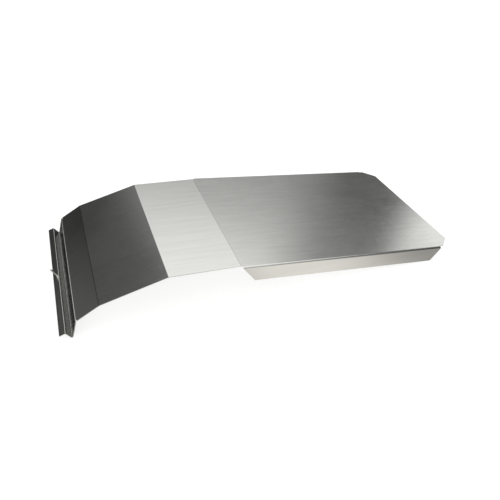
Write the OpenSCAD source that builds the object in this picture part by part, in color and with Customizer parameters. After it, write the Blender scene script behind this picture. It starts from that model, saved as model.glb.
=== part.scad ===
// Folded sheet-metal slide. A flat deck with turned-down sides runs into three
// lower panels, each folded a little steeper, and ends in a strip folded into
// a hook, with a pin set in the hook's flared edge. It stands on the bottom of
// the hook and on the deck's side flanges, and is the same on both sides.

/* [Slide sheet] */
// Width of the slide across its lower panels
slide_w = 267; // [160:1:400]
// Length of the flat deck, from its free edge to the first fold
deck_l = 371; // [260:1:600]
// Length of the panel next to the deck, between its folds
panel_1_l = 103; // [60:1:160]
// Length of the middle panel, between its folds
panel_2_l = 98.5; // [60:1:160]
// Length of the last panel, from its fold to the outside of the end lip
panel_3_l = 37.3; // [25:0.1:60]
// Fold between the deck and the first panel, in degrees
fold_1 = 3.5; // [1:0.5:10]
// Fold between the first and the second panel, in degrees
fold_2 = 17.5; // [8:0.5:25]
// Fold between the second and the last panel, in degrees
fold_3 = 15.5; // [8:0.5:25]
// Thickness of the slide sheet
sheet_t = 0.9; // [0.6:0.1:1.5]
// Inside radius of the slide sheet's folds
fold_r = 2; // [1:0.1:4]
// How far every fold's two faces draw in, because bending thins the sheet
fold_thinning = 0.01; // [0.005:0.005:0.03]
// Length along each edge of the 45 degree cuts at the deck's free corners
corner_cut = 19; // [8:0.5:22]

/* [End lip] */
// Fold between the last panel and the end lip, in degrees
lip_fold = 44; // [35:1:50]
// Straight length of the end lip behind the hook strip
end_lip_l = 22; // [12:0.5:24]
// How far the end lip stops short of the slide's side edges
end_lip_inset = 3; // [2:0.5:10]

/* [Side flanges] */
// Height of the side flanges, from the top of the deck
flange_h = 25.1; // [12:0.1:35]
// How far the deck runs past the lower panels' edges before its sides turn down
deck_side = 1.2; // [0.5:0.1:4]
// Gap between the first fold and the side flanges
flange_hook_gap = 3; // [2:0.5:10]
// Set-back of the flange's lower corner at the hook end
flange_hook_cut = 20.3; // [5:0.1:30]
// Distance from the deck's free edge to the side flanges
flange_free_gap = 26; // [23:0.5:40]
// Set-back of the flange's lower corner at the free end
flange_free_cut = 13.3; // [5:0.1:30]

/* [Hook strip] */
// Thickness of the hook strip
hook_t = 0.9; // [0.6:0.1:1.5]
// Inside radius of the hook strip's folds
hook_fold_r = 0.8; // [0.6:0.1:1.5]
// Straight length of the upright leg that lies on the end lip
upright_l = 27.2; // [26:0.1:40]
// How far the upright leg stands above the end lip's straight part
upright_rise = 1.2; // [0.5:0.1:1.5]
// Deep fold at the bottom of the hook, in degrees
groove_fold = 128; // [115:1:135]
// Straight length of the leg that rises out of the hook's groove
rising_l = 9.8; // [6:0.1:16]
// Fold between the rising leg and the flared edge, in degrees
flare_fold = 72.5; // [50:0.5:90]
// Straight length of the flared edge
flare_l = 8; // [6:0.1:14]

/* [Pin] */
// Diameter of the pin
pin_d = 2.6; // [2:0.1:4]
// Length of the pin above the flared edge
pin_l = 13.5; // [8:0.5:25]
// Lean of the pin away from square to the flared edge, in degrees
pin_lean = 9; // [0:1:20]
// Distance from the flared edge's fold to the pin's axis, along the flare
pin_place = 2.4; // [2:0.1:4]
// Diameter of the pin's head under the flared edge
pin_head_d = 4.4; // [4.4:0.1:5]
// Thickness of the pin's head
pin_head_t = 0.8; // [0.5:0.1:1.2]
// Clearance around the pin in its hole
pin_clearance = 0.1; // [0.05:0.05:0.2]
// Bevel at the pin's tip
pin_bevel = 0.3; // [0.1:0.1:0.5]

/* [Hidden] */
$fn = 96;

// How far a cut reaches past a face, or one solid into another of the same piece
overlap = 1;
// How far a fold, being thinner, runs inside each of the two legs beside it
fold_seat = 0.05;

// The part is drawn in its side view, with X along the sheet, Y up out of its
// top face and Z across it. A folded strip is a chain of straight legs with a
// fold between each two. It starts along +X with its top face at height 0. A
// negative turn folds it away below its top face, a positive one up over it.
function strip(legs, turns, inside_r, t) = [legs, turns, inside_r, t];
function legs(s) = s[0];
function turns(s) = s[1];
function inside_r(s) = s[2];
function thickness(s) = s[3];
function outside_r(s) = inside_r(s) + thickness(s);
// Height of a fold's centre, at the start of the fold
function centre_y(s, turn) = turn < 0 ? -outside_r(s) : inside_r(s);

// Length that a fold takes off the panels beside it, on their outer faces
function set_back(turn) = (fold_r + sheet_t) * tan(turn / 2);

slide = strip(
    legs = [
        deck_l - set_back(fold_1),
        panel_1_l - set_back(fold_1) - set_back(fold_2),
        panel_2_l - set_back(fold_2) - set_back(fold_3),
        panel_3_l - set_back(fold_3) - set_back(lip_fold),
        end_lip_l
    ],
    turns = [-fold_1, -fold_2, -fold_3, -lip_fold],
    inside_r = fold_r,
    t = sheet_t
);
END_LIP = len(legs(slide)) - 1;
LAST_PANEL = END_LIP - 1;

hook = strip(
    legs = [upright_l, rising_l, flare_l],
    turns = [groove_fold, -flare_fold],
    inside_r = hook_fold_r,
    t = hook_t
);
FLARE = len(legs(hook)) - 1;

// A point moved along a heading in the side view
function along(from, heading, length) = from + length * [cos(heading), sin(heading)];

// Start of a leg in the side view, from the strip's start: [[x, y], heading]
function leg_start(s, n, start) =
    n == 0 ? start :
    let (
        before = leg_start(s, n - 1, start),
        turn = turns(s)[n - 1],
        fold_start = along(before[0], before[1], legs(s)[n - 1]),
        centre = along(fold_start, before[1] + 90, centre_y(s, turn)),
        heading = before[1] + turn
    ) [along(centre, heading + 90, -centre_y(s, turn)), heading];

// The hook strip lies on the end lip's outer face, one thickness outside it, and
// its top edge stands a little above the lip's straight part
lip_start = leg_start(slide, END_LIP, [[0, 0], 0]);
hook_start = [
    along(along(lip_start[0], lip_start[1] + 90, hook_t), lip_start[1], -upright_rise),
    lip_start[1]
];
flare_start = leg_start(hook, FLARE, hook_start);

// The level slide's lowest places: the underside of the groove's fold and the
// side flange's lower corner at the free end
upright_end = along(hook_start[0], hook_start[1], upright_l);
groove_centre = along(upright_end, hook_start[1] + 90, hook_fold_r);
groove_outside_r = outside_r(hook) - fold_thinning;
foot = [flange_free_gap + flange_free_cut, -flange_h];

// Slope of the ground that touches both, while the deck is still level
foot_to_groove = groove_centre - foot;
ground_slope = atan(foot_to_groove.y / foot_to_groove.x)
    - asin(groove_outside_r / norm(foot_to_groove));

// A point of the level slide's side view, once the slide stands on the ground
function stood(p) = [
    p.x * cos(ground_slope) + p.y * sin(ground_slope),
    p.y * cos(ground_slope) - p.x * sin(ground_slope)
];

// Places that may reach furthest on the hook's side, and the free edge's reach
flare_edge = along(flare_start[0], flare_start[1], flare_l);
pin_heading = flare_start[1] + 90 - pin_lean;
pin_tip = along(along(flare_start[0], flare_start[1], pin_place), pin_heading, pin_l);
pin_tip_side = along(pin_tip, pin_heading - 90, pin_d / 2 - pin_bevel);
pin_side = along(along(pin_tip, pin_heading, -pin_bevel), pin_heading - 90, pin_d / 2);
hook_reach = max([for (p = [flare_edge, pin_tip_side, pin_side]) stood(p).x]);
free_reach = stood([0, 0]).x;

// Stands the level slide on the ground, centred, with its free edge towards +X
module standing() {
    rotate([0, 0, 180])
        translate([-(hook_reach + free_reach) / 2, 0, -stood(foot).y])
            rotate([90, ground_slope, 0])
                children();
}

// Moves its children round a fold of the strip
module past_fold(s, turn) {
    translate([0, centre_y(s, turn)])
        rotate(turn)
            translate([0, -centre_y(s, turn)])
                children();
}

// Moves its children to the start of a leg, past the legs and folds before it
module at_leg(s, n) {
    if (n == 0)
        children();
    else
        at_leg(s, n - 1)
            translate([legs(s)[n - 1], 0])
                past_fold(s, turns(s)[n - 1])
                    children();
}

// Half of the plane round a fold's centre, on the side of +X or of -X, with
// the fold's seat in the leg on the other side
module half_plane(size, side) {
    translate([side * (size / 2 - fold_seat), 0])
        square(size, center = true);
}

// Side view of one fold: a piece of ring from the fold's start to its end
module fold_ring(s, turn) {
    size = 2 * outside_r(s) + overlap;
    translate([0, centre_y(s, turn)])
        intersection() {
            difference() {
                circle(outside_r(s) - fold_thinning);
                circle(inside_r(s) + fold_thinning);
            }
            half_plane(size, 1);
            rotate(turn)
                half_plane(size, -1);
        }
}

// Side view of a strip's legs from one to another, with the fold before each
module legs_between(s, first, last) {
    for (n = [first : last]) {
        at_leg(s, n)
            translate([0, -thickness(s)])
                square([legs(s)[n], thickness(s)]);
        if (n > 0)
            at_leg(s, n - 1)
                translate([legs(s)[n - 1], 0])
                    fold_ring(s, turns(s)[n - 1]);
    }
}

// A side view given its width, half on each side
module across(width) {
    translate([0, 0, -width / 2])
        linear_extrude(width)
            children();
}

// Both sides of the slide, from what is drawn on -Z
module both_sides() {
    children();
    mirror([0, 0, 1])
        children();
}

// The deck's side on -Z, turned down into a flange with its lower corners set back
module side_flange() {
    hook_end = deck_l - flange_hook_gap;
    length = hook_end - flange_free_gap;
    bend_y = -outside_r(slide);
    bend_z = -(slide_w / 2 + deck_side);
    translate([flange_free_gap, -sheet_t, bend_z])
        cube([length, sheet_t, deck_side + overlap]);
    translate([flange_free_gap, bend_y, bend_z])
        rotate([0, 90, 0])
            linear_extrude(length)
                intersection() {
                    difference() {
                        circle(outside_r(slide));
                        circle(fold_r);
                    }
                    square(2 * outside_r(slide));
                }
    translate([0, 0, bend_z - outside_r(slide)])
        linear_extrude(sheet_t)
            polygon([
                [flange_free_gap, bend_y],
                [hook_end, bend_y],
                [hook_end - flange_hook_cut, -flange_h],
                foot
            ]);
}

// The cut at the deck's free corner on -Z
module corner_cutter() {
    translate([0, overlap, -slide_w / 2])
        rotate([90, 0, 0])
            linear_extrude(sheet_t + 2 * overlap)
                polygon([
                    [-overlap, -overlap],
                    [-overlap, corner_cut + overlap],
                    [corner_cut + overlap, -overlap]
                ]);
}

// The slide itself, one folded sheet: deck, side flanges, three panels, end lip
module slide_sheet() {
    color([0.68, 0.69, 0.68])
        standing() {
            difference() {
                across(slide_w)
                    legs_between(slide, 0, LAST_PANEL);
                both_sides()
                    corner_cutter();
            }
            across(slide_w - 2 * end_lip_inset)
                legs_between(slide, END_LIP, END_LIP);
            both_sides()
                side_flange();
        }
}

// The hook strip's own frame, on the outer face of the slide's end lip
module on_end_lip() {
    standing()
        at_leg(slide, END_LIP)
            translate([-upright_rise, hook_t])
                children();
}

// The pin's root on top of the flared edge, with its axis along +Z
module at_pin() {
    at_leg(hook, FLARE)
        translate([pin_place, 0])
            rotate([-90, 0, -pin_lean])
                children();
}

// Depth along the pin's axis at which its square head clears the sheet it leans in
head_depth = hook_t / cos(pin_lean) + pin_head_d / 2 * tan(pin_lean);

// The hook: an upright leg, a deep groove, a rising leg and a flared edge
module hook_strip() {
    color([0.55, 0.56, 0.56])
        on_end_lip()
            difference() {
                across(slide_w)
                    legs_between(hook, 0, FLARE);
                at_pin()
                    translate([0, 0, -head_depth])
                        cylinder(h = head_depth + overlap, d = pin_d + 2 * pin_clearance);
            }
}

// The pin that stands out of the flared edge, with its head underneath
module locating_pin() {
    color([0.72, 0.73, 0.72])
        on_end_lip()
            at_pin()
                rotate_extrude()
                    polygon([
                        [0, -head_depth - pin_head_t],
                        [pin_head_d / 2, -head_depth - pin_head_t],
                        [pin_head_d / 2, -head_depth],
                        [pin_d / 2, -head_depth],
                        [pin_d / 2, pin_l - pin_bevel],
                        [pin_d / 2 - pin_bevel, pin_l],
                        [0, pin_l]
                    ]);
}

slide_sheet();
hook_strip();
locating_pin();
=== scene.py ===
import math

import bpy
from mathutils import Matrix

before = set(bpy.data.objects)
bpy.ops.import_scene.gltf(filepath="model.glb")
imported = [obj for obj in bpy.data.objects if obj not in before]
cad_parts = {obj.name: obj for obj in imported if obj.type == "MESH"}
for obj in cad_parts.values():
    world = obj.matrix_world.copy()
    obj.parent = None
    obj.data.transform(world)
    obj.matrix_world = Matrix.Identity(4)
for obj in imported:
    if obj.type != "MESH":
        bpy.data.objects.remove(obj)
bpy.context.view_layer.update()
bpy.context.scene.view_settings.view_transform = "Standard"


# Camera: a normal lens on a stand in front of the slide's hooked end, looking
# down and along the deck.
CAMERA_AT = (-0.25351, -0.69711, 0.52474)
CAMERA_AXES = (
    (0.941398, 0.182386, -0.283733),
    (-0.336710, 0.557751, -0.758644),
    (0.019887, 0.809722, 0.586477),
)
bpy.ops.object.select_all(action="DESELECT")
bpy.ops.object.camera_add(location=CAMERA_AT)
camera = bpy.context.object
camera.matrix_world = Matrix.Translation(CAMERA_AT) @ Matrix(CAMERA_AXES).to_4x4()
camera.data.lens = 38.641
camera.data.sensor_width = 36.0
camera.data.clip_start = 0.02
camera.data.clip_end = 60.0
bpy.context.scene.camera = camera


# Light tent: white cloth that is bright overhead and dim towards the horizon.
# Black flags keep light off parts of the steel, and white cards put it back,
# so that the bare metal has something to mirror. The backdrop stays white.
def node(tree, kind, **values):
    made = tree.nodes.new(kind)
    for name, value in values.items():
        setattr(made, name, value)
    return made


def maths(tree, operation, first, second=None):
    made = node(tree, "ShaderNodeMath", operation=operation)
    for socket, value in zip(made.inputs, (first, second)):
        if value is None:
            continue
        if isinstance(value, (int, float)):
            socket.default_value = value
        else:
            tree.links.new(value, socket)
    return made.outputs[0]


def smooth_range(tree, value, low, high, to_low=0.0, to_high=1.0):
    made = node(tree, "ShaderNodeMapRange", interpolation_type="SMOOTHSTEP")
    tree.links.new(value, made.inputs["Value"])
    made.inputs["From Min"].default_value = low
    made.inputs["From Max"].default_value = high
    made.inputs["To Min"].default_value = to_low
    made.inputs["To Max"].default_value = to_high
    return made.outputs["Result"]


def angle_range(value, low, high, to_low, to_high):
    return smooth_range(
        tent, value, math.radians(low), math.radians(high), to_low, to_high
    )


def cloth(centre, half_width, soft_edge, full_below, gone_above, strength):
    turned = maths(tent, "SUBTRACT", round_angle, math.radians(centre))
    off_centre = maths(tent, "ABSOLUTE", turned)
    across = angle_range(off_centre, half_width, half_width + soft_edge, 1.0, 0.0)
    height = angle_range(up_angle, full_below, gone_above, 1.0, 0.0)
    return maths(tent, "MULTIPLY", maths(tent, "MULTIPLY", across, height), strength)


HORIZON_GLOW = 0.37
OVERHEAD_GLOW = 1.4
# Degrees: centre, half width and soft edge round the slide, then the height
# that a cloth is full below and gone above, then how dark or bright it is.
BLACK_FLAGS = (
    (131, 26, 18, 38, 70, 0.91),
    (49.5, 2, 9, 34, 50, 0.62),
    (-4, 42, 12, 46, 56, 0.88),
)
WHITE_CARDS = (
    (22, 21.5, 4.5, 27, 33, 1.25),
    (-85, 25, 10, 25, 40, 0.55),
    (155, 25, 18, 20, 40, 0.14),
)

world = bpy.data.worlds.new("light_tent")
bpy.context.scene.world = world
world.use_nodes = True
tent = world.node_tree
tent.nodes.clear()
view = node(tent, "ShaderNodeTexCoord")
split = node(tent, "ShaderNodeSeparateXYZ")
tent.links.new(view.outputs["Generated"], split.inputs[0])
round_angle = maths(tent, "ARCTAN2", split.outputs["Y"], split.outputs["X"])
up_angle = maths(tent, "ARCSINE", split.outputs["Z"])
glow = angle_range(up_angle, 20, 39, HORIZON_GLOW, OVERHEAD_GLOW)
for flag in BLACK_FLAGS:
    let_through = maths(tent, "SUBTRACT", 1.0, cloth(*flag))
    glow = maths(tent, "MULTIPLY", glow, let_through)
for card in WHITE_CARDS:
    glow = maths(tent, "MAXIMUM", glow, cloth(*card))
tent_light = node(tent, "ShaderNodeBackground")
tent.links.new(glow, tent_light.inputs["Strength"])
backdrop = node(tent, "ShaderNodeBackground")
backdrop.inputs["Strength"].default_value = 1.0
backdrop.inputs["Color"].default_value = (1.0, 1.0, 1.0, 1.0)
tent_path = node(tent, "ShaderNodeLightPath")
seen = node(tent, "ShaderNodeMixShader")
tent.links.new(tent_path.outputs["Is Camera Ray"], seen.inputs["Fac"])
tent.links.new(tent_light.outputs[0], seen.inputs[1])
tent.links.new(backdrop.outputs[0], seen.inputs[2])
tent_out = node(tent, "ShaderNodeOutputWorld")
tent.links.new(seen.outputs[0], tent_out.inputs["Surface"])


# Table top: matt white paper that keeps the slide's soft shadow. What the
# steel mirrors of it is brightest in front of the slide, warm, and falls off
# to the sides and behind.
TABLE_SIZE = 14.0
TABLE_AT = (0.0, 0.0, -0.0004)
PAPER_GREY = (0.45, 0.45, 0.45, 1.0)
PAPER_GLOW = 0.8
WARM_WHITE = (1.0, 0.965, 0.925, 1.0)
# Axis, where the fall starts and ends in metres, and the share left at each.
GLARE_FALLS = (
    ("X", 0.09, 0.29, 1.0, 0.42),
    ("X", -0.09, 0.03, 0.66, 1.0),
    ("Y", -0.08, 0.1, 1.0, 0.12),
)

bpy.ops.mesh.primitive_plane_add(size=TABLE_SIZE, location=TABLE_AT)
table = bpy.context.object
table.name = "studio_floor"
table_paper = bpy.data.materials.new("studio_floor")
table_paper.use_nodes = True
paper = table_paper.node_tree
paper.nodes.clear()
matt = node(paper, "ShaderNodeBsdfDiffuse")
matt.inputs["Color"].default_value = PAPER_GREY
lit = node(paper, "ShaderNodeEmission")
lit.inputs["Color"].default_value = (1.0, 1.0, 1.0, 1.0)
lit.inputs["Strength"].default_value = PAPER_GLOW
pictured = node(paper, "ShaderNodeAddShader")
paper.links.new(matt.outputs[0], pictured.inputs[0])
paper.links.new(lit.outputs[0], pictured.inputs[1])
spot = node(paper, "ShaderNodeNewGeometry")
reach = node(paper, "ShaderNodeVectorMath", operation="LENGTH")
paper.links.new(spot.outputs["Position"], reach.inputs[0])
spot_split = node(paper, "ShaderNodeSeparateXYZ")
paper.links.new(spot.outputs["Position"], spot_split.inputs[0])
glare = smooth_range(paper, reach.outputs["Value"], 0.34, 0.75, 0.9, 0.1)
for axis, *fall in GLARE_FALLS:
    left = smooth_range(paper, spot_split.outputs[axis], *fall)
    glare = maths(paper, "MULTIPLY", glare, left)
mirrored = node(paper, "ShaderNodeEmission")
mirrored.inputs["Color"].default_value = WARM_WHITE
paper.links.new(glare, mirrored.inputs["Strength"])
paper_path = node(paper, "ShaderNodeLightPath")
either = node(paper, "ShaderNodeMixShader")
paper.links.new(paper_path.outputs["Is Camera Ray"], either.inputs["Fac"])
paper.links.new(mirrored.outputs[0], either.inputs[1])
paper.links.new(pictured.outputs[0], either.inputs[2])
paper_out = node(paper, "ShaderNodeOutputMaterial")
paper.links.new(either.outputs[0], paper_out.inputs["Surface"])
table.data.materials.append(table_paper)


# Slide sheet: one piece of thin stainless sheet with a brushed finish whose
# grain runs down the slide, cut flat and folded on a press brake. A fine dark
# line of painted shade runs across the sheet beside a fold, where the crease
# mirrors darker.
GRAIN_CONTRAST = 0.025
BAND_CONTRAST = 0.045
CLOUD_SCALE = (11.0, 11.0, 11.0)
GRAIN_HEIGHT = 0.0001


def brushed(
    name, colour, fine_grain, broad_grain, roughness, across_grain, shades=()
):
    made = bpy.data.materials.new(name)
    made.use_nodes = True
    tree = made.node_tree
    tree.nodes.clear()
    place = node(tree, "ShaderNodeTexCoord")

    def streaks(scale, detail):
        stretch = node(tree, "ShaderNodeMapping")
        stretch.inputs["Scale"].default_value = scale
        tree.links.new(place.outputs["Object"], stretch.inputs["Vector"])
        noise = node(tree, "ShaderNodeTexNoise")
        noise.inputs["Scale"].default_value = 1.0
        noise.inputs["Detail"].default_value = detail
        noise.inputs["Roughness"].default_value = 0.55
        tree.links.new(stretch.outputs[0], noise.inputs["Vector"])
        return noise.outputs["Fac"]

    def spread(noise, low, high):
        return smooth_range(tree, noise, 0.3, 0.7, low, high)

    grain = streaks(fine_grain, 4.0)
    bands = streaks(broad_grain, 3.0)
    cloud = streaks(CLOUD_SCALE, 2.0)
    tone = maths(
        tree,
        "MULTIPLY",
        spread(grain, 1.0 - GRAIN_CONTRAST, 1.0),
        spread(bands, 1.0 - BAND_CONTRAST, 1.0),
    )
    along = node(tree, "ShaderNodeSeparateXYZ")
    tree.links.new(place.outputs["Object"], along.inputs[0])
    for shade in shades:
        step = smooth_range(tree, along.outputs["X"], *shade)
        tone = maths(tree, "MULTIPLY", tone, step)
    tint = node(tree, "ShaderNodeMixRGB", blend_type="MULTIPLY")
    tint.inputs["Fac"].default_value = 1.0
    tint.inputs["Color1"].default_value = (*colour, 1.0)
    tree.links.new(tone, tint.inputs["Color2"])
    rough = maths(
        tree,
        "ADD",
        spread(grain, roughness - 0.03, roughness + 0.03),
        spread(cloud, -0.02, 0.02),
    )
    bump = node(tree, "ShaderNodeBump")
    bump.inputs["Strength"].default_value = 0.03
    bump.inputs["Distance"].default_value = GRAIN_HEIGHT
    tree.links.new(grain, bump.inputs["Height"])
    side = node(tree, "ShaderNodeCombineXYZ")
    for socket, value in zip(side.inputs, across_grain):
        socket.default_value = value
    steel = node(tree, "ShaderNodeBsdfPrincipled")
    steel.inputs["Metallic"].default_value = 1.0
    steel.inputs["Anisotropic"].default_value = 0.35
    tree.links.new(tint.outputs[0], steel.inputs["Base Color"])
    tree.links.new(rough, steel.inputs["Roughness"])
    tree.links.new(bump.outputs[0], steel.inputs["Normal"])
    tree.links.new(side.outputs[0], steel.inputs["Tangent"])
    out = node(tree, "ShaderNodeOutputMaterial")
    tree.links.new(steel.outputs[0], out.inputs["Surface"])
    return made


def finish(piece, material):
    for slot in piece.material_slots:
        slot.material = material


# A painted dark line of shade across the sheet at a crease: the tone holds between
# start and end, with soft edges of the given width.
def painted_crease_shade(start, end, edge, tone):
    return (
        (start, start + edge, 1.0, tone),
        (end - edge, end, 1.0, 1.0 / tone),
    )


# Metres along the slide where a painted shade starts and ends, and the tone at
# each: the end lip past its fold is out of the light and painted dark as shade,
# its painted dark line at the fold is one-sided, and the other folds get a
# painted dark line of shade on both sides.
LIP_FOLD_PAINTED_SHADE = (-0.2868, -0.2864, 0.34, 1.0)
LIP_FOLD_PAINTED_LINE = (-0.2864, -0.2852, 0.72, 1.0)
THIRD_FOLD_PAINTED_SHADE = painted_crease_shade(-0.2552, -0.2528, edge=0.001, tone=0.74)
FIRST_FOLD_PAINTED_SHADE = painted_crease_shade(-0.0562, -0.0545, edge=0.0007, tone=0.8)

# The sheet's colour carries the painted shade listed above.
finish(
    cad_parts["slide_sheet"],
    brushed(
        "brushed_slide_sheet_painted_shade",
        colour=(0.79, 0.795, 0.762),
        fine_grain=(5.0, 900.0, 900.0),
        broad_grain=(3.0, 140.0, 140.0),
        roughness=0.16,
        across_grain=(0.0, 1.0, 0.0),
        shades=(LIP_FOLD_PAINTED_SHADE, LIP_FOLD_PAINTED_LINE, *THIRD_FOLD_PAINTED_SHADE, *FIRST_FOLD_PAINTED_SHADE),
    ),
)


# Hook strip: a narrow strip of the same sheet, folded into an acute groove and
# a flared edge, and spot-welded to the slide's end lip. Its grain runs along
# the strip. Its colour is painted darker over the groove, as painted shade, and
# a little lighter on the flared edge, as painted light.
GROOVE_PAINTED_SHADE = (-0.3042, -0.3030, 1.1, 0.66)

finish(
    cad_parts["hook_strip"],
    brushed(
        "brushed_hook_strip_painted_shade",
        colour=(0.75, 0.755, 0.73),
        fine_grain=(900.0, 5.0, 900.0),
        broad_grain=(300.0, 3.0, 300.0),
        roughness=0.17,
        across_grain=(1.0, 0.0, 0.0),
        shades=(GROOVE_PAINTED_SHADE,),
    ),
)


# Locating pin: a small steel pin, turned on a lathe and riveted through the
# strip's flared edge.
finish(
    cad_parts["locating_pin"],
    brushed(
        "turned_locating_pin",
        colour=(0.8, 0.8, 0.78),
        fine_grain=(900.0, 900.0, 900.0),
        broad_grain=(300.0, 300.0, 300.0),
        roughness=0.2,
        across_grain=(0.0, 1.0, 0.0),
    ),
)
